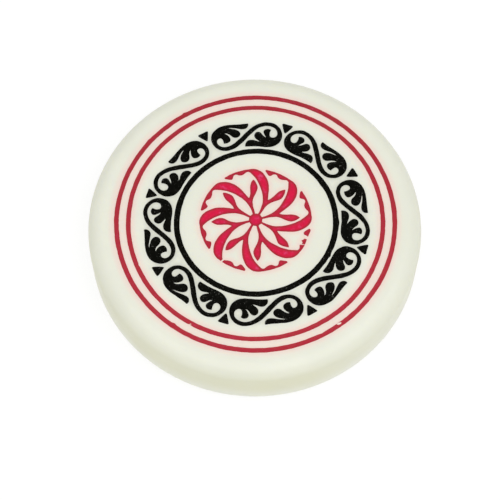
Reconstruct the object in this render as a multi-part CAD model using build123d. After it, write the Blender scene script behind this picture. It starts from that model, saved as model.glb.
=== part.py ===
from build123d import *
import math
import os

os.makedirs("parts", exist_ok=True)

# A carrom striker: a thick moulded disc with rounded rims. Ring lines, a band of scrolls
# and a bladed rosette are cut shallowly into its faces and filled with coloured lacquer.
# Millimetres. The origin is the centre of the underside and +Z is up.

# ---- disc
DISC_DIAMETER = 41.3        # the largest a striker may be under the laws of carrom
DISC_HEIGHT = 8.5
RIM_ROUNDING = 2.0          # radius along both rims, with a straight side between them

# ---- engraving and filling
POCKET_DEPTH = 0.35         # how deep the artwork is cut into a face
FILL_THICKNESS = 0.30       # lacquer in a pocket, so that it stands just below the face
DECORATE_UNDERSIDE = True   # the disc is slid on either face

# ---- ring lines: radius at the middle of the line, and the line's width
OUTER_RING_RADIUS, OUTER_RING_WIDTH = 17.17, 0.55
INNER_RING_RADIUS, INNER_RING_WIDTH = 15.71, 0.54
BORDER_RING_RADIUS, BORDER_RING_WIDTH = 9.76, 0.66

# ---- layout: bearings are degrees clockwise from +Y, seen from above
SECTORS = 8
SECTOR_ANGLE = 360 / SECTORS
FIRST_SPANDREL = 16.2                                   # bearing of one spandrel
FIRST_SCROLL = FIRST_SPANDREL + SECTOR_ANGLE / 2        # scrolls lie between spandrels
FIRST_BLADE = 29.2                                      # bearing of one blade's root
RED_SHIFT = (0.10, -0.07)           # each colour's work is cut in its own setting, and
BLACK_SHIFT = (0.18, -0.28)         # neither setting is quite on the disc's axis

# ---- spandrel: a small wedge that points inward between two scrolls
SPANDREL_HALF_ANGLE = 2.9
SPANDREL_OUTER_RADIUS = 14.06
SPANDREL_TIP_RADIUS = 12.72
SPANDREL_CORNER = 0.09

# ---- rosette
HUB_RADIUS = 0.82
ROSETTE_RADIUS = 6.95       # outside of the thin rim that each blade ends in

# ---- scroll: (bearing from the scroll's middle, radius), clockwise round its edge.
# The edge is eight smooth runs, and the corners are where one run meets the next.
LOWER_LEAF = [
    (-8.7, 11.15), (-7.2, 11.16), (-5.4, 11.28), (-3.2, 11.39), (-1.0, 11.34), (0.5, 11.09),
    (1.25, 10.72), (1.2, 10.53)]
LOWER_BACK_TO_UPPER_EYE = [
    (1.2, 10.53), (-2.5, 10.51), (-8.0, 10.45), (-13.5, 10.43), (-17.5, 10.65),     # back
    (-20.3, 11.13), (-21.5, 11.90), (-20.8, 12.70), (-18.6, 13.39),                 # turn
    (-15.6, 13.84), (-12.3, 13.96), (-8.3, 13.75), (-4.4, 13.26), (0.0, 12.45),     # stem
    (4.0, 11.73), (8.0, 11.22), (12.6, 11.00), (15.8, 11.16),
    (17.8, 11.60), (17.8, 12.17), (16.2, 12.47), (14.6, 12.41),                     # eye
    (13.95, 12.06), (14.15, 11.62)]
UPPER_FIRST_LOBE = [
    (14.15, 11.62), (13.0, 11.54), (11.2, 11.57), (9.8, 11.78), (9.8, 12.20),
    (10.7, 12.59), (12.1, 12.95)]
UPPER_SECOND_LOBE = [
    (12.1, 12.95), (10.3, 12.80), (9.0, 12.51), (7.9, 12.19), (5.9, 11.98),
    (3.9, 12.16), (3.25, 12.52), (4.3, 12.93), (6.5, 13.24), (9.5, 13.57)]
UPPER_LEAF = [
    (9.5, 13.57), (7.3, 13.48), (5.0, 13.31), (2.6, 13.12), (0.3, 13.06), (-1.1, 13.24),
    (-1.75, 13.57), (-1.65, 13.79)]
UPPER_BACK_TO_LOWER_EYE = [
    (-1.65, 13.79), (2.5, 13.76), (7.5, 13.92), (12.0, 13.99), (16.0, 13.75),       # back
    (18.8, 13.24), (20.45, 12.40), (20.1, 11.52), (17.8, 10.87),                    # turn
    (15.0, 10.57), (12.0, 10.47), (8.0, 10.61), (4.0, 11.03), (0.0, 11.68),         # stem
    (-4.0, 12.48), (-8.0, 13.19), (-12.7, 13.48), (-16.0, 13.28),
    (-18.2, 12.77), (-18.3, 12.17), (-16.4, 11.86), (-14.6, 11.97),                 # eye
    (-13.95, 12.33), (-14.45, 12.90)]
LOWER_FIRST_LOBE = [
    (-14.45, 12.90), (-13.3, 13.01), (-11.6, 12.96), (-10.5, 12.68), (-11.0, 12.27),
    (-12.0, 11.93), (-13.0, 11.77)]
LOWER_SECOND_LOBE = [
    (-13.0, 11.77), (-11.3, 11.87), (-9.9, 12.14), (-8.6, 12.45), (-6.9, 12.52),
    (-5.3, 12.22), (-5.3, 11.78), (-6.6, 11.45), (-8.7, 11.15)]

# ---- blade and leaf: (bearing from the blade's root, radius), clockwise round the edge
BLADE_LEFT = [(-8.5, 0.82), (-6.0, 1.45), (-9.2, 2.60), (-18.0, 3.95), (-30.0, 5.80), (-36.0, 6.60)]
BLADE_RIM_INSIDE = [
    (-36.0, 6.60), (-38.5, 6.64), (-41.5, 6.46), (-48.0, 6.42), (-51.0, 6.68), (-54.0, 6.63),
    (-57.5, 6.26), (-60.5, 6.42), (-63.5, 6.75)]
BLADE_RIM_END = (-63.5, 6.95)
BLADE_RIM_START = (-35.0, 6.95)
BLADE_RIGHT = [(-35.0, 6.95), (-25.0, 6.76), (-13.5, 5.54), (-5.5, 4.00), (0.0, 3.05)]
LEAF_LEFT = [(0.0, 3.05), (2.7, 3.24), (6.8, 4.25), (13.0, 5.50)]
LEAF_RIGHT = [(13.0, 5.50), (17.3, 4.85), (19.0, 4.35), (15.6, 3.60), (8.4, 2.75), (6.0, 1.45), (8.5, 0.82)]


def at(bearing, radius):
    """The point at a bearing and a radius."""
    angle = math.radians(bearing)
    return (radius * math.sin(angle), radius * math.cos(angle))


def smooth(points, middle, mirrored=False):
    """A smooth curve through (bearing, radius) points, measured from a middle bearing."""
    side = -1 if mirrored else 1
    return Spline(*[at(middle + side * bearing, radius) for bearing, radius in points])


def ring_face(radius, width):
    """A ring line of one width."""
    return make_face(Circle(radius + width / 2).edges()) - make_face(Circle(radius - width / 2).edges())


def scroll_face(middle, mirrored):
    """An S-shaped stem with a cluster of leaves curling back at each end."""
    runs = [LOWER_LEAF, LOWER_BACK_TO_UPPER_EYE, UPPER_FIRST_LOBE, UPPER_SECOND_LOBE,
            UPPER_LEAF, UPPER_BACK_TO_LOWER_EYE, LOWER_FIRST_LOBE, LOWER_SECOND_LOBE]
    return make_face([smooth(run, middle, mirrored) for run in runs])


def spandrel_face(middle):
    """A wedge under an arc, with softened corners."""
    left = at(middle - SPANDREL_HALF_ANGLE, SPANDREL_OUTER_RADIUS)
    top = at(middle, SPANDREL_OUTER_RADIUS)
    right = at(middle + SPANDREL_HALF_ANGLE, SPANDREL_OUTER_RADIUS)
    tip = at(middle, SPANDREL_TIP_RADIUS)
    wedge = make_face([ThreePointArc(left, top, right), Line(right, tip), Line(tip, left)])
    return fillet(wedge.vertices(), SPANDREL_CORNER)


def rosette_face():
    """Eight curved blades with a leaf each, round a small hub, as one outline."""
    edges = []
    for index in range(SECTORS):
        root = FIRST_BLADE + index * SECTOR_ANGLE
        rim_inner_end = at(root + BLADE_RIM_INSIDE[-1][0], BLADE_RIM_INSIDE[-1][1])
        rim_outer_end = at(root + BLADE_RIM_END[0], BLADE_RIM_END[1])
        rim_middle = at(root + (BLADE_RIM_END[0] + BLADE_RIM_START[0]) / 2, ROSETTE_RADIUS)
        rim_start = at(root + BLADE_RIM_START[0], BLADE_RIM_START[1])
        hub_start = at(root + LEAF_RIGHT[-1][0], HUB_RADIUS)
        hub_middle = at(root + SECTOR_ANGLE / 2, HUB_RADIUS)
        hub_end = at(root + SECTOR_ANGLE + BLADE_LEFT[0][0], HUB_RADIUS)
        edges += [
            smooth(BLADE_LEFT, root),
            smooth(BLADE_RIM_INSIDE, root),
            Line(rim_inner_end, rim_outer_end),
            ThreePointArc(rim_outer_end, rim_middle, rim_start),
            smooth(BLADE_RIGHT, root),
            smooth(LEAF_LEFT, root),
            smooth(LEAF_RIGHT, root),
            ThreePointArc(hub_start, hub_middle, hub_end)]
    return make_face(edges)


def artwork():
    """Every filled shape on one face, by name."""
    red = Pos(*RED_SHIFT)
    black = Pos(*BLACK_SHIFT)
    shapes = {
        "outer_ring_fill": red * ring_face(OUTER_RING_RADIUS, OUTER_RING_WIDTH),
        "inner_ring_fill": red * ring_face(INNER_RING_RADIUS, INNER_RING_WIDTH),
        "border_ring_fill": black * ring_face(BORDER_RING_RADIUS, BORDER_RING_WIDTH),
        "rosette_fill": red * rosette_face()}
    for index in range(SECTORS):
        scroll_middle = FIRST_SCROLL + index * SECTOR_ANGLE
        spandrel_middle = FIRST_SPANDREL + index * SECTOR_ANGLE
        shapes[f"scroll_fill_{index + 1}"] = black * scroll_face(scroll_middle, index % 2 == 1)
        shapes[f"spandrel_fill_{index + 1}"] = black * spandrel_face(spandrel_middle)
    return shapes


def layer(face, bottom, thickness):
    """A flat layer of a shape, standing on a height."""
    return extrude(Pos(0, 0, bottom) * face, amount=thickness, dir=(0, 0, 1))


def turned_over(solid):
    """The same solid on the underside, as if the disc were rolled over about X."""
    return Pos(0, 0, DISC_HEIGHT) * Rot(180, 0, 0) * solid


def disc_blank():
    """The plain disc, before its artwork is cut."""
    blank = Cylinder(DISC_DIAMETER / 2, DISC_HEIGHT, align=(Align.CENTER, Align.CENTER, Align.MIN))
    return fillet(blank.edges().filter_by(GeomType.CIRCLE), RIM_ROUNDING)


floor_height = DISC_HEIGHT - POCKET_DEPTH
shapes = artwork()
pockets = [layer(face, floor_height, POCKET_DEPTH) for face in shapes.values()]
fills = {f"top_{name}": layer(face, floor_height, FILL_THICKNESS) for name, face in shapes.items()}
if DECORATE_UNDERSIDE:
    pockets += [turned_over(pocket) for pocket in pockets]
    fills |= {name.replace("top_", "bottom_"): turned_over(fill) for name, fill in fills.items()}

pieces = {"striker_body": disc_blank() - pockets, **fills}
for name, piece in pieces.items():
    export_step(piece, f"parts/{name}.step")
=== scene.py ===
import math

import bpy
import numpy as np
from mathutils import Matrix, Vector, noise
from mathutils.geometry import delaunay_2d_cdt
from mathutils.kdtree import KDTree


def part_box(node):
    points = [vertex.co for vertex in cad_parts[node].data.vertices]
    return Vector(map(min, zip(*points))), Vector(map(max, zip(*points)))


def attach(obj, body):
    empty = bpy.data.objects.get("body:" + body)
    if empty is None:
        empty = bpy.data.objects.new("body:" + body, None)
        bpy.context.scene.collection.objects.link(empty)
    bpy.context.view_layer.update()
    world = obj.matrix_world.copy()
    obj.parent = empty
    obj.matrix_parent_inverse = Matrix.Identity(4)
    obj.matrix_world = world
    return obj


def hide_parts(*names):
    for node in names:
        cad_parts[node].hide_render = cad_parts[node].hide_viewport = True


# A carrom striker: a smooth ivory disc with lacquer-filled artwork on both faces. Every shape is
# worked out in millimetres in a face's own frame, where the face looks up and is HEIGHT high, and
# is then put in the row frame in metres. Bearings are in degrees clockwise from +Y.

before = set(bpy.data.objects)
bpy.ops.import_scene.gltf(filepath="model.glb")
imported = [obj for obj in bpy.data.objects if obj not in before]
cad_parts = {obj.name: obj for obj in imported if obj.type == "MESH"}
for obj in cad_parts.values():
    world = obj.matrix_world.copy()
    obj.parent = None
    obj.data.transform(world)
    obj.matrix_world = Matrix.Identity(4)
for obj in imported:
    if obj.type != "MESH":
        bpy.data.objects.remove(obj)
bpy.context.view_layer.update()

MM = 0.001
_, body_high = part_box("striker_body")
RADIUS = body_high[0] / MM
HEIGHT = body_high[2] / MM
RIM_ROUNDING = 2.0                  # as in the CAD
POCKET_DEPTH = 0.35                 # as in the CAD
FILL_RECESS = 0.05                  # how far below the face the CAD's fills end
SAME_HEIGHT = 1e-3
KEY_DIGITS = 4                      # decimals that tell one point of the CAD from another
BLACK_CENTRE = (0.18, -0.28)        # of the scroll band, as in the CAD
BAND_MIDDLE = 12.0                  # its mean radius
BAND_HALF_WIDTH = 2.0

# ---- how fine the meshes are
CURVE_STEP = 0.02                   # between points while an outline is being smoothed
OUTLINE_SPACING = 0.085             # between points on a finished outline
RING_SPACING = 0.14                 # the same on a plain ring line
INNER_ROW = 0.09                    # how far inside an outline its row of points lies
ROW_CLEARANCE = 0.75 * INNER_ROW    # the row's points stay this far from every outline
FACE_GRID = 0.36                    # between points away from the outlines
GRID_RADIUS = 17.5                  # the grid ends just past the artwork
GRID_CLEARANCE = 1.6 * INNER_ROW    # the grid's points stay this far from every outline
MERGE_DISTANCE = 1e-5
RIM_POINTS = 360                    # round the disc
EDGE_CIRCLES = [(18.2, 180), (18.5, RIM_POINTS)]    # (radius, points) between grid and rounding
ROUNDING_STEPS = 20                 # over each rounded rim
SIDE_STEPS = 6                      # down the straight side
SHARP_ANGLE = 40                    # edges that bend more than this are shaded as edges

# ---- how the artwork was cut and filled
CORNER_ANGLE = 35                   # an outline turns more than this only at a real corner
CORNER_SOFTENING = 0.03
RED_OVERFILL = 0.022                # how far the lacquer has run over each edge of its cut
BLACK_OVERFILL = 0.032
CURL_LIMIT = 0.99                   # share of the overfill below which a point has curled back
# Each setting of the work is a little out of round: (bearing it is longest along, share longer)
STRETCHES = {"rosette": (12, 0.007), "outer_ring": (17, 0.0027), "inner_ring": (17, 0.0027)}
BLACK_STRETCH = (66, 0.0053)
WANDERS = [(0.030, 2.6), (0.026, 0.8), (0.016, 0.35)]       # (how far, over what length)
# Steps through the noise that are long enough to give unrelated drift
NEXT_WANDER = 7.7
NEXT_SIDE = 31
ACROSS = Vector((43.2, 17.9, 5.1))
BLOT_POINTS = 28
BLOT_UNEVENNESS = 0.22              # share of its size that a bare patch's outline varies by
BLOT_WAVES = 1.3                    # how many swellings it has
LIP_DROP = 0.012                    # lacquer meets its pocket's wall this far below the face
DISH_DEPTH = 0.040                  # and sinks by this much away from the wall
DISH_REACH = 0.10
STAIN = 0.50                        # how strongly the red dye has tinted the plastic beside it
STAIN_REACH = 0.45
DARKENING_BESIDE_BLACK = 0.20                       # how much darker the plastic is made beside black work
DARKENING_REACH = 0.38
DARKENING_OUTSIDE_BAND = 0.25           # the share of it outside the scroll band
BAND_FADE = 0.5                     # over what width it weakens at the band's borders

# ---- faults in the top face's artwork
# (bearing, radius, reach, push): a place where an outline was pushed outward, or inward if negative
TOP_BUMPS = [
    (328.9, 17.44, 0.22, 0.13), (309.4, 17.44, 0.35, 0.07), (214.9, 16.90, 0.25, -0.12),
    (246.3, 15.44, 0.20, 0.10), (209.2, 15.98, 0.16, -0.12), (92.4, 10.24, 0.38, 0.08),
    (118.5, 10.22, 0.20, 0.24), (60.0, 9.43, 0.40, -0.05), (152.0, 16.90, 0.40, 0.06),
    (112.0, 6.95, 0.90, -0.10)]
# (bearing, radius, length, width, slant, seed): a bare patch where no lacquer went in
TOP_GAPS = [
    (143.9, 17.12, 0.60, 0.25, -75, 1.0), (100.1, 7.05, 0.38, 0.38, 0, 2.0),
    (111.3, 6.62, 1.00, 0.42, 12, 3.0), (121.2, 6.55, 1.00, 0.10, -25, 4.0),
    (119.8, 6.37, 0.56, 0.56, 0, 5.0), (215.4, 6.80, 1.00, 0.20, 8, 7.0),
    (209.0, 15.88, 0.16, 0.10, 80, 9.0)]

# ---- colours
IVORY_DEEP = (0.790, 0.800, 0.690)
IVORY_PALE = (0.812, 0.820, 0.710)
IVORY_FLECKED = (0.785, 0.797, 0.680)
IVORY_STAINED = (0.95, 0.56, 0.51)
IVORY_DARKENED = (0.02, 0.01, 0.02)
# The side's colour: yellowing with painted shade, darker as well as yellower than the face.
IVORY_YELLOWED_AND_SHADED = (0.715, 0.715, 0.510)
SHAPE_EDGE = (0.41, 0.0235, 0.0385)
SHAPE_MIDDLE = (0.73, 0.0080, 0.0600)
# The ring lines' crimson is darker than the rosette's: painted shade, as if the walls of their narrow
# cuts shaded them.
SHADED_LINE_EDGE = (0.43, 0.0340, 0.0450)
SHADED_LINE_MIDDLE = (0.35, 0.0170, 0.0390)
LINE_DULLNESS = 0.45
RED_DULLED = (0.26, 0.025, 0.026)
RED_MAGENTA = (0.64, 0.016, 0.095)
RED_SHADED = (0.46, 0.012, 0.040)
# The pink of lighter patches in the lacquer: partly wear, partly painted sheen.
RED_WORN_AND_SHEEN = (0.70, 0.07, 0.20)
BLACK_DEEP = (0.0017, 0.0018, 0.0008)
BLACK_BLOTCHED = (0.0060, 0.0058, 0.0042)
DUST = (0.09, 0.09, 0.08)
WHITE = (1, 1, 1, 1)
FLOOR_GREY = (0.34, 0.34, 0.34, 1)

# ---- stage, light and camera, with lengths in metres
FLOOR_HALF = 1.5
FLOOR_HEIGHT = -0.00002             # just under the disc, so that the two don't share a plane
FLOOR_GLOW = 0.69
SKY_STRENGTH = 0.46
LAMP_DISTANCE = 0.7
LAMP_ELEVATION = math.radians(75)
LAMP_BEARING = math.radians(160)
LAMP_SIZE = 1.1
LAMP_POWER = 4.5
VIEW_ELEVATION = math.radians(65.62)
VIEW_DISTANCE = 0.202
VIEW_TARGET = Vector((-0.000592, -0.004165, HEIGHT * MM))
FOCAL_LENGTH = 119.1                # in millimetres, like the sensor
SENSOR_WIDTH = 36
NEAREST_SEEN = 0.01


def at(bearing, radius):
    """The point at a bearing and a radius."""
    angle = math.radians(bearing)
    return np.array([radius * math.sin(angle), radius * math.cos(angle)])


def turned(points, side):
    """Points taken from the row frame to a face's own, or back. The underside's is rolled about X."""
    points = np.asarray(points, float)
    return points if side > 0 else points * (1, -1, -1) + (0, 0, HEIGHT)


def unit(vectors):
    return vectors / np.linalg.norm(vectors, axis=1)[:, None]


# ---------------------------------------------------------------- outlines

def cap_loops(node, side):
    """The closed outlines of a fill's flat top in the CAD, with the fill on each line's left."""
    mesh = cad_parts[node].data
    points = turned([np.array(v.co) / MM for v in mesh.vertices], side)
    keys = [tuple(p) for p in np.round(points[:, :2], KEY_DIGITS)]
    level = abs(points[:, 2] - (HEIGHT - FILL_RECESS)) < SAME_HEIGHT
    edges = set()
    for face in mesh.polygons:
        corners = list(face.vertices)
        if level[corners].all():
            edges |= {(keys[a], keys[b]) for a, b in zip(corners, corners[1:] + corners[:1])}
    following = {a: b for a, b in edges if (b, a) not in edges}
    loops = []
    while following:
        point = min(following)
        loop = []
        while point in following:
            loop.append(point)
            point = following.pop(point)
        loops.append(np.array(loop))
    return loops


def resampled(line, spacing):
    """A closed line with its points at an even spacing."""
    closed = np.vstack([line, line[:1]])
    along = np.concatenate([[0], np.cumsum(np.linalg.norm(np.diff(closed, axis=0), axis=1))])
    count = max(8, round(along[-1] / spacing))
    places = np.arange(count) * along[-1] / count
    return np.stack([np.interp(places, along, closed[:, k]) for k in (0, 1)], 1)


def softened(line, spacing, width):
    """A closed line of evenly spaced points, averaged with its neighbours over a width."""
    reach = np.arange(-10, 11)
    weights = np.exp(-0.5 * (reach * spacing / width) ** 2)
    return sum(w * np.roll(line, k, 0) for w, k in zip(weights / weights.sum(), reach))


def point_tree(points):
    """A tree of flat points, for finding the nearest."""
    tree = KDTree(len(points))
    for k, (x, y) in enumerate(points):
        tree.insert((x, y, 0), k)
    tree.balance()
    return tree


def near(tree, points):
    """Each point's distance from the nearest in a tree."""
    return np.array([tree.find((x, y, 0))[2] for x, y in points])


def grown(line, amount):
    """A closed line moved to its right, which makes a fill bigger."""
    ahead = unit(np.roll(line, -1, 0) - np.roll(line, 1, 0))
    return line + amount * np.stack([ahead[:, 1], -ahead[:, 0]], 1)


def faired(loop, spacing, overfill):
    """A CAD outline made smooth except at its real corners, and let out by the overfill."""
    chord = np.roll(loop, -1, 0) - loop
    length = np.linalg.norm(chord, axis=1)[:, None]
    ahead = chord / length
    behind = np.roll(ahead, 1, 0)
    tangent = unit(ahead * np.roll(length, 1, 0) + behind * length)
    sharp = np.sum(ahead * behind, 1) < math.cos(math.radians(CORNER_ANGLE))
    far_end = np.where(np.roll(sharp, -1)[:, None], ahead, np.roll(tangent, -1, 0))
    near_end = np.where(np.roll(sharp, 1)[:, None], behind, np.roll(tangent, 1, 0))
    # Beside a corner, the tangent at the chord's other end is mirrored in the chord.
    mirrored_far = 2 * ahead * np.sum(ahead * far_end, 1)[:, None] - far_end
    mirrored_near = 2 * behind * np.sum(behind * near_end, 1)[:, None] - near_end
    leaving = np.where(sharp[:, None], mirrored_far, tangent)
    arriving = np.where(sharp[:, None], mirrored_near, tangent)
    dense = []
    for k in range(len(loop)):
        nxt = (k + 1) % len(loop)
        s = np.arange(0, 1, CURVE_STEP / max(length[k, 0], CURVE_STEP))[:, None]
        dense.append(
            (2 * s**3 - 3 * s**2 + 1) * loop[k] + (3 * s**2 - 2 * s**3) * loop[nxt]
            + length[k] * ((s**3 - 2 * s**2 + s) * leaving[k] + (s**3 - s**2) * arriving[nxt]))
    even = softened(resampled(np.vstack(dense), CURVE_STEP), CURVE_STEP, CORNER_SOFTENING)
    wide = grown(even, overfill)
    # In a tight inner corner the wider line curls over itself and comes too near the first line.
    wide = wide[near(point_tree(even), wide) > CURL_LIMIT * overfill]
    return resampled(wide, spacing)


def wandered(line, side):
    """An outline as a hand-guided cutter leaves it: one gentle field of drift moves the whole face."""
    out = []
    for x, y in line:
        dx = dy = 0
        for k, (amount, span) in enumerate(WANDERS):
            place = Vector((x / span, y / span, NEXT_WANDER * k + NEXT_SIDE * side))
            dx += amount * noise.noise(place)
            dy += amount * noise.noise(place + ACROSS)
        out.append((x + dx, y + dy))
    return np.array(out)


def stretched(line, bearing, share):
    """An outline made longer along one bearing and as much shorter across it."""
    along = at(bearing, 1)
    return line + share * (2 * np.outer(line @ along, along) - line)


def bumped(line, bumps):
    """An outline pushed away from the disc's middle close to each (bearing, radius, reach, push)."""
    for bearing, radius, reach, push in bumps:
        away = np.linalg.norm(line - at(bearing, radius), axis=1)[:, None]
        line = line + unit(line) * push * np.exp(-((away / reach) ** 2))
    return line


def blot(bearing, radius, length, width, slant, seed):
    """An uneven patch, length by width, whose length slants clockwise from the outward direction."""
    turn = math.radians(bearing + slant)
    along = np.array([math.sin(turn), math.cos(turn)])
    across = np.array([along[1], -along[0]])
    points = []
    for k in range(BLOT_POINTS):
        angle = -2 * math.pi * k / BLOT_POINTS
        x, y = math.cos(angle), math.sin(angle)
        size = 1 + BLOT_UNEVENNESS * noise.noise(Vector((BLOT_WAVES * x, BLOT_WAVES * y, seed)))
        points.append(size * (length / 2 * x * along + width / 2 * y * across))
    return at(bearing, radius) + np.array(points)


# ---------------------------------------------------------------- meshes

def grid(spacing, radius):
    """Points of a triangular grid within a radius."""
    rows = np.arange(-radius, radius, spacing * math.sqrt(3) / 2)
    columns = np.arange(-radius, radius, spacing)
    points = [(x + spacing / 2 * (k % 2), y) for k, y in enumerate(rows) for x in columns]
    points = np.array(points)
    return points[np.linalg.norm(points, axis=1) < radius]


def facing(line):
    """1 where a closed line runs anticlockwise, -1 where it runs clockwise."""
    onward = np.roll(line, -1, 0)
    return 1 if np.sum(line[:, 0] * onward[:, 1] - line[:, 1] * onward[:, 0]) > 0 else -1


def circle(radius, count):
    angles = 2 * math.pi * np.arange(count) / count
    return radius * np.stack([np.cos(angles), np.sin(angles)], 1)


def face_outlines(names, side, bumps):
    """Every finished outline on a face, and the name of the fill that each one bounds."""
    outlines = []
    owners = []
    for name in names:
        spacing = RING_SPACING if "ring" in name else OUTLINE_SPACING
        stretch = next((s for word, s in STRETCHES.items() if word in name), BLACK_STRETCH)
        overfill = RED_OVERFILL if is_red(name) else BLACK_OVERFILL
        for loop in cap_loops(name, side):
            line = stretched(faired(loop, spacing, overfill), *stretch)
            outlines.append(bumped(wandered(line, side), bumps))
            owners.append(name)
    return outlines, owners


def loose_points(outlines):
    """The points that keep triangles even: a row inside each outline, and a grid away from them all."""
    tree = point_tree(np.vstack(outlines))
    inner_rows = []
    for line in outlines:
        row = grown(line, -INNER_ROW)
        inner_rows.append(row[near(tree, row) > ROW_CLEARANCE][::2])
    spread = np.vstack([grid(FACE_GRID, GRID_RADIUS)] + [circle(*c) for c in EDGE_CIRCLES])
    return np.vstack(inner_rows + [spread[near(tree, spread) > GRID_CLEARANCE]])


def face_plan(names, side, bumps, gaps):
    """One flat triangulation of a whole face.

    It is the points, the triangles, each triangle's fill or None, and the points round the edge.
    """
    outlines, owners = face_outlines(names, side, bumps)
    cuts = [blot(*gap) for gap in gaps]
    edge = circle(RADIUS - RIM_ROUNDING, RIM_POINTS)
    points = []
    loops = []
    for line in [edge] + outlines + cuts:
        loops.append(list(range(len(points), len(points) + len(line)))[::facing(line)])
        points += [Vector(p) for p in line]
    points += [Vector(p) for p in loose_points(outlines)]
    flat, _, triangles, origins, _, covers = delaunay_2d_cdt(
        points, [], loops, 0, MERGE_DISTANCE, True)

    fills = []
    for cover in covers:
        inside = [owners[k - 1] for k in cover if 1 <= k <= len(owners)]
        odd = [name for name in dict.fromkeys(inside) if inside.count(name) % 2]
        cut = any(k > len(owners) for k in cover)
        fills.append(None if cut or not odd else odd[0])
    became = {old: new for new, olds in enumerate(origins) for old in olds}
    rim = [became[k] for k in loops[0]]
    return np.array([tuple(p) for p in flat]), [tuple(t) for t in triangles], fills, rim


def mesh_piece(name, points, faces, marks):
    """A shaded object from points in the row frame in millimetres, with named numbers at its points."""
    mesh = bpy.data.meshes.new(name)
    mesh.from_pydata((np.asarray(points) * MM).tolist(), [], [list(f) for f in faces])
    for key, values in marks.items():
        mark = mesh.attributes.new(key, "FLOAT", "POINT")
        mark.data.foreach_set("value", np.asarray(values, np.float32))
    mesh.validate()
    mesh.shade_smooth()
    mesh.set_sharp_from_angle(angle=math.radians(SHARP_ANGLE))
    piece = bpy.data.objects.new(name, mesh)
    bpy.context.scene.collection.objects.link(piece)
    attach(piece, "root")
    return piece


def is_red(name):
    return any(word in name for word in ("rosette", "outer_ring", "inner_ring"))


def outline_tree(flat, edges):
    """A tree of the points along some fills' outlines."""
    border = sorted({a for a, _, _ in edges} | {b for _, b, _ in edges})
    return point_tree(flat[border])


def shared_edges(triangles, fills):
    """Every directed edge that leads round a fill where the bare face or another fill begins."""
    owner = {}
    for triangle, fill in zip(triangles, fills):
        for a, b in zip(triangle, triangle[1:] + triangle[:1]):
            owner[a, b] = fill
    return [(a, b, fill) for (a, b), fill in owner.items() if fill and owner.get((b, a)) != fill]


def fill_piece(name, side, plan, edges, inward):
    """A fill as a closed solid: a dished top, straight walls and a flat bottom."""
    flat, triangles, fills, _ = plan
    own = [t for t, fill in zip(triangles, fills) if fill == name]
    used = sorted({k for t in own for k in t})
    place = {k: n for n, k in enumerate(used)}
    count = len(used)
    heights = HEIGHT - LIP_DROP - DISH_DEPTH * (1 - np.exp(-inward[used] / DISH_REACH))
    top = np.column_stack([flat[used], heights])
    bottom = np.column_stack([flat[used], np.full(count, HEIGHT - POCKET_DEPTH)])
    faces = [tuple(place[k] for k in t) for t in own]
    faces += [tuple(place[k] + count for k in reversed(t)) for t in own]
    for a, b, fill in edges:
        if fill == name:
            a, b = place[a], place[b]
            faces.append((a, a + count, b + count, b))
    points = turned(np.vstack([top, bottom]), side)
    marks = {"inward": np.tile(inward[used], 2)}
    return mesh_piece(name.replace("_fill", "_lacquer"), points, faces, marks)


def tints(flat, edges):
    """How strongly dye has stained the plastic at each point of a face, and how much darker it is made
    there beside black work.
    """
    beside_red = near(outline_tree(flat, [e for e in edges if is_red(e[2])]), flat)
    beside_black = near(outline_tree(flat, [e for e in edges if not is_red(e[2])]), flat)
    stain = STAIN * np.exp(-((beside_red / STAIN_REACH) ** 2))
    off_middle = abs(np.linalg.norm(flat - BLACK_CENTRE, axis=1) - BAND_MIDDLE)
    in_band = np.clip((BAND_HALF_WIDTH - off_middle) / BAND_FADE, DARKENING_OUTSIDE_BAND, 1)
    smudge = DARKENING_BESIDE_BLACK * in_band * np.exp(-((beside_black / DARKENING_REACH) ** 2))
    return stain, smudge


def rim_profile():
    """(radius, height) of each row of points between the two flat faces, from the top down."""
    turn = np.linspace(0, math.pi / 2, ROUNDING_STEPS + 1)[1:]
    inset = [RIM_ROUNDING * (1 - math.sin(a)) for a in turn]
    drop = [RIM_ROUNDING * (1 - math.cos(a)) for a in turn]
    upper = [(RADIUS - i, HEIGHT - d) for i, d in zip(inset, drop)]
    side_heights = np.linspace(HEIGHT - RIM_ROUNDING, RIM_ROUNDING, SIDE_STEPS + 1)[1:-1]
    straight = [(RADIUS, z) for z in side_heights]
    lower = [(r, HEIGHT - z) for r, z in reversed(upper)]
    return upper + straight + lower


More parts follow.
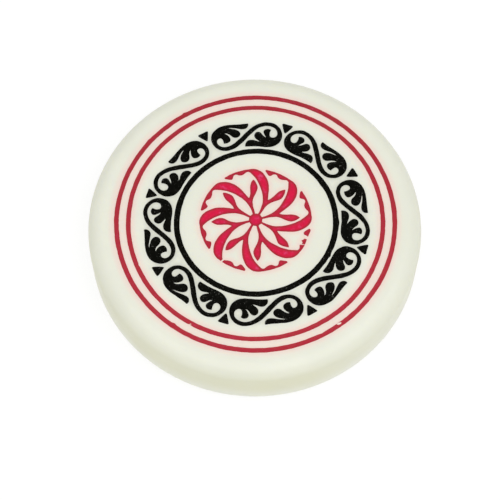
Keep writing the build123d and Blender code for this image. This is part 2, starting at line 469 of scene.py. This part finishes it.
def disc_piece(plans):
    """The ivory disc: two flat faces with their pockets, and the rounded rim between them."""
    points = []
    faces = []
    stains = []
    darkenings = []
    rims = {}
    total = 0
    for side, (plan, edges, stain, smudge) in plans.items():
        flat, triangles, fills, rim = plan
        count = len(flat)
        land = np.column_stack([flat, np.full(count, HEIGHT)])
        floor = np.column_stack([flat, np.full(count, HEIGHT - POCKET_DEPTH)])
        points += [turned(land, side), turned(floor, side)]
        stains += [stain, np.zeros(count)]
        darkenings += [smudge, np.zeros(count)]
        for triangle, fill in zip(triangles, fills):
            shift = total + (count if fill else 0)
            faces.append(tuple(k + shift for k in triangle))
        for a, b, _ in edges:
            a, b = a + total, b + total
            faces.append((a, b, b + count, a + count))
        rims[side] = [k + total for k in rim]
        total += 2 * count

    # The rim goes from the top face's edge down to the underside's, which runs the other way round.
    rows = [rims[1]]
    for radius, height in rim_profile():
        ring = circle(radius, RIM_POINTS)
        points.append(np.column_stack([ring, np.full(RIM_POINTS, height)]))
        stains.append(np.zeros(RIM_POINTS))
        darkenings.append(np.zeros(RIM_POINTS))
        rows.append(list(range(total, total + RIM_POINTS)))
        total += RIM_POINTS
    under = rims[-1]
    rows.append([under[-k % RIM_POINTS] for k in range(RIM_POINTS)])
    for upper_row, lower_row in zip(rows, rows[1:]):
        for k in range(RIM_POINTS):
            nxt = (k + 1) % RIM_POINTS
            faces.append((upper_row[k], lower_row[k], lower_row[nxt], upper_row[nxt]))

    points = np.vstack(points)
    used = sorted({k for f in faces for k in f})
    place = {k: n for n, k in enumerate(used)}
    faces = [tuple(place[k] for k in f) for f in faces]
    marks = {"stain": np.concatenate(stains)[used], "smudge": np.concatenate(darkenings)[used]}
    return mesh_piece("ivory_disc", points[used], faces, marks)


# ---------------------------------------------------------------- materials

class Nodes:
    """A material's node tree, with short ways to add to it."""

    def __init__(self, name):
        self.material = bpy.data.materials.new(name)
        self.material.use_nodes = True
        self.tree = self.material.node_tree
        self.shader = self.tree.nodes["Principled BSDF"]
        self.place = self.add("ShaderNodeTexCoord").outputs["Object"]

    def add(self, kind, **settings):
        node = self.tree.nodes.new(kind)
        for key, value in settings.items():
            setattr(node, key, value)
        return node

    def link(self, output, target):
        self.tree.links.new(output, target)

    def scaled(self, sizes):
        """The place on the object, so that one unit is sizes millimetres."""
        node = self.add("ShaderNodeMapping")
        node.inputs["Scale"].default_value = [1 / (size * MM) for size in sizes]
        self.link(self.place, node.inputs["Vector"])
        return node.outputs["Vector"]

    def noise(self, size, detail=3, roughness=0.5, stretch=(1, 1, 1)):
        """Cloudy noise from 0 to 1 whose clouds are about size millimetres across."""
        node = self.add("ShaderNodeTexNoise")
        self.link(self.scaled([size * s for s in stretch]), node.inputs["Vector"])
        node.inputs["Scale"].default_value = 1
        node.inputs["Detail"].default_value = detail
        node.inputs["Roughness"].default_value = roughness
        return node.outputs["Fac"]

    def axes(self):
        """The place on the object as three numbers, in metres."""
        node = self.add("ShaderNodeSeparateXYZ")
        self.link(self.place, node.inputs["Vector"])
        return node.outputs["X"], node.outputs["Y"], node.outputs["Z"]

    def mark(self, name):
        """The number that the mesh holds at each point under a name."""
        return self.add("ShaderNodeAttribute", attribute_name=name).outputs["Fac"]

    def ramp(self, value, low, high, to_low=0.0, to_high=1.0):
        """A value from low to high taken to another range, and kept within it."""
        node = self.add("ShaderNodeMapRange", interpolation_type="SMOOTHSTEP")
        self.link(value, node.inputs["Value"])
        ends = {"From Min": low, "From Max": high, "To Min": to_low, "To Max": to_high}
        for key, number in ends.items():
            node.inputs[key].default_value = number
        return node.outputs["Result"]

    def mix(self, factor, first, second):
        """A colour between two, each a colour or another mix's output."""
        node = self.add("ShaderNodeMix", data_type="RGBA")
        self.link(factor, node.inputs["Factor"])
        for key, colour in (("A", first), ("B", second)):
            socket = [s for s in node.inputs if s.name == key and s.type == "RGBA"][0]
            if isinstance(colour, tuple):
                socket.default_value = (*colour, 1)
            else:
                self.link(colour, socket)
        return [s for s in node.outputs if s.type == "RGBA"][0]

    def math(self, operation, first, second):
        node = self.add("ShaderNodeMath", operation=operation)
        for socket, value in zip(node.inputs, (first, second)):
            if isinstance(value, (int, float)):
                socket.default_value = value
            else:
                self.link(value, socket)
        return node.outputs["Value"]

    def bump(self, height, depth):
        """Relief of a depth in millimetres."""
        node = self.add("ShaderNodeBump")
        node.inputs["Distance"].default_value = depth * MM
        self.link(height, node.inputs["Height"])
        self.link(node.outputs["Normal"], self.shader.inputs["Normal"])

    def set(self, **values):
        """Plain numbers on the shader's own sockets."""
        for key, value in values.items():
            self.shader.inputs[key.replace("_", " ")].default_value = value


def ivory_plastic():
    """Warm white moulded plastic: faintly cloudy, softly glossy, and yellower and darker round its
    side, partly yellowing and partly painted shade.
    """
    n = Nodes("ivory_plastic")
    clouds = n.ramp(n.noise(7.0, detail=2), 0.35, 0.65)
    base = n.mix(clouds, IVORY_DEEP, IVORY_PALE)
    fine = n.ramp(n.noise(0.8, detail=2), 0.3, 0.7, 0.0, 0.35)
    base = n.mix(fine, base, IVORY_FLECKED)
    base = n.mix(n.mark("stain"), base, IVORY_STAINED)
    base = n.mix(n.mark("smudge"), base, IVORY_DARKENED)
    x, _, z = n.axes()
    # The yellowing and painted shade are strongest a little above the middle of the side, and weaker
    # towards +X, where the lamp lights the side more.
    yellowed_and_shaded = n.math("MULTIPLY", n.ramp(z, 0.5 * MM, 5.0 * MM), n.ramp(z, 8.5 * MM, 6.0 * MM))
    yellowed_and_shaded = n.math("MULTIPLY", yellowed_and_shaded, n.ramp(x, 3 * MM, 16 * MM, 1.0, 0.6))
    uneven = n.ramp(n.noise(9.0, detail=1), 0.25, 0.75, 0.85, 1.0)
    yellowed_and_shaded = n.math("MULTIPLY", yellowed_and_shaded, uneven)
    n.link(n.mix(yellowed_and_shaded, base, IVORY_YELLOWED_AND_SHADED), n.shader.inputs["Base Color"])
    n.link(n.ramp(n.noise(4.0, detail=2), 0.35, 0.7, 0.30, 0.36), n.shader.inputs["Roughness"])
    n.bump(n.noise(1.6, detail=1), 0.0010)
    n.set(IOR=1.5, Specular_IOR_Level=0.4, Subsurface_Weight=0.15, Subsurface_Scale=0.6 * MM)
    n.shader.inputs["Subsurface Radius"].default_value = (1.0, 0.9, 0.55)
    return n.material


def red_lacquer(name, edge, middle, dulled):
    """Crimson lacquer with one colour along its edges and another in its middle.

    It is magenta in places, pink in patches that are partly wear and partly painted sheen, and dulled
    by a share of 0 to 1 towards +Y.
    """
    n = Nodes(name)
    broad = n.ramp(n.mark("inward"), 0.10, 0.42)
    base = n.mix(broad, edge, middle)
    _, y, _ = n.axes()
    base = n.mix(n.ramp(y, -12 * MM, 16 * MM, 0.0, dulled), base, RED_DULLED)
    drift = n.ramp(n.noise(2.5, detail=3), 0.45, 0.65, 0.0, 0.45)
    base = n.mix(n.math("MULTIPLY", drift, broad), base, RED_MAGENTA)
    shade = n.ramp(n.noise(0.35, detail=4, roughness=0.6), 0.3, 0.7, 0.0, 0.45)
    base = n.mix(shade, base, RED_SHADED)
    # Lighter pink patches in the lacquer's middle: partly wear, partly painted sheen.
    rubbed_and_sheen = n.ramp(n.noise(0.8, detail=5, roughness=0.62), 0.52, 0.72, 0.0, 0.8)
    worn_and_sheen = n.math("MULTIPLY", rubbed_and_sheen, broad)
    n.link(n.mix(worn_and_sheen, base, RED_WORN_AND_SHEEN), n.shader.inputs["Base Color"])
    n.link(n.ramp(n.noise(0.5, detail=4), 0.3, 0.7, 0.32, 0.5), n.shader.inputs["Roughness"])
    n.bump(n.noise(0.12, detail=4), 0.003)
    n.set(IOR=1.5, Specular_IOR_Level=0.08)
    return n.material


def black_lacquer():
    """Black lacquer with slight blotches and a few grey specks of dust."""
    n = Nodes("black_lacquer")
    blotch = n.ramp(n.noise(0.6, detail=5, roughness=0.6), 0.45, 0.8)
    specks = n.ramp(n.noise(0.17, detail=1), 0.67, 0.75, 0.0, 0.9)
    base = n.mix(blotch, BLACK_DEEP, BLACK_BLOTCHED)
    n.link(n.mix(specks, base, DUST), n.shader.inputs["Base Color"])
    n.link(n.ramp(n.noise(0.5, detail=4), 0.3, 0.7, 0.3, 0.5), n.shader.inputs["Roughness"])
    n.bump(n.noise(0.12, detail=4), 0.003)
    n.set(IOR=1.5, Specular_IOR_Level=0.03)
    return n.material


def pale_floor():
    """A plain white sweep that gives a little light of its own, as a lit studio table does."""
    n = Nodes("pale_floor")
    n.link(n.ramp(n.noise(60, detail=2), 0.3, 0.7, 0.55, 0.65), n.shader.inputs["Roughness"])
    n.set(Base_Color=FLOOR_GREY, Specular_IOR_Level=0.0)
    n.set(Emission_Color=WHITE, Emission_Strength=FLOOR_GLOW)
    return n.material


# ---------------------------------------------------------------- build

ivory = ivory_plastic()
crimson = red_lacquer("red_lacquer", SHAPE_EDGE, SHAPE_MIDDLE, 0.0)
# A darker copy of the crimson for the ring lines, with painted shade of their cuts' walls in its
# colours.
shaded_line_crimson = red_lacquer("red_line_lacquer", SHADED_LINE_EDGE, SHADED_LINE_MIDDLE, LINE_DULLNESS)
black = black_lacquer()

plans = {}
for side, prefix, bumps, gaps in ((1, "top_", TOP_BUMPS, TOP_GAPS), (-1, "bottom_", [], [])):
    names = sorted(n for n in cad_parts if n.startswith(prefix))
    plan = face_plan(names, side, bumps, gaps)
    flat, triangles, fills, _ = plan
    edges = shared_edges(triangles, fills)
    inward = near(outline_tree(flat, edges), flat)
    plans[side] = (plan, edges, *tints(flat, edges))
    for name in names:
        piece = fill_piece(name, side, plan, edges, inward)
        red = shaded_line_crimson if "ring" in name else crimson
        piece.data.materials.append(red if is_red(name) else black)
        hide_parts(name)

disc = disc_piece(plans)
disc.data.materials.append(ivory)
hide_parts("striker_body")

# ---------------------------------------------------------------- stage, light and camera

floor_mesh = bpy.data.meshes.new("floor")
quarters = ((-1, -1), (1, -1), (1, 1), (-1, 1))
corners = [(x * FLOOR_HALF, y * FLOOR_HALF, FLOOR_HEIGHT) for x, y in quarters]
floor_mesh.from_pydata(corners, [], [(0, 1, 2, 3)])
floor = bpy.data.objects.new("floor", floor_mesh)
floor_mesh.materials.append(pale_floor())
bpy.context.scene.collection.objects.link(floor)

world = bpy.data.worlds.new("studio")
bpy.context.scene.world = world
world.use_nodes = True
world.node_tree.nodes["Background"].inputs["Color"].default_value = WHITE
world.node_tree.nodes["Background"].inputs["Strength"].default_value = SKY_STRENGTH

lamp = bpy.data.lights.new("softbox", "AREA")
lamp.shape = "DISK"
lamp.size = LAMP_SIZE
lamp.energy = LAMP_POWER
softbox = bpy.data.objects.new("softbox", lamp)
softbox.location = LAMP_DISTANCE * Vector((
    math.cos(LAMP_ELEVATION) * math.sin(LAMP_BEARING),
    math.cos(LAMP_ELEVATION) * math.cos(LAMP_BEARING),
    math.sin(LAMP_ELEVATION)))
softbox.rotation_euler = (-softbox.location).to_track_quat("-Z", "Y").to_euler()
bpy.context.scene.collection.objects.link(softbox)

lens = bpy.data.cameras.new("camera")
lens.sensor_width = SENSOR_WIDTH
lens.lens = FOCAL_LENGTH
lens.clip_start = NEAREST_SEEN
camera = bpy.data.objects.new("camera", lens)
backward = Vector((0, -math.cos(VIEW_ELEVATION), math.sin(VIEW_ELEVATION)))
camera.location = VIEW_TARGET + VIEW_DISTANCE * backward
camera.rotation_euler = (math.pi / 2 - VIEW_ELEVATION, 0, 0)
bpy.context.scene.collection.objects.link(camera)
bpy.context.scene.camera = camera
bpy.context.scene.view_settings.view_transform = "Standard"
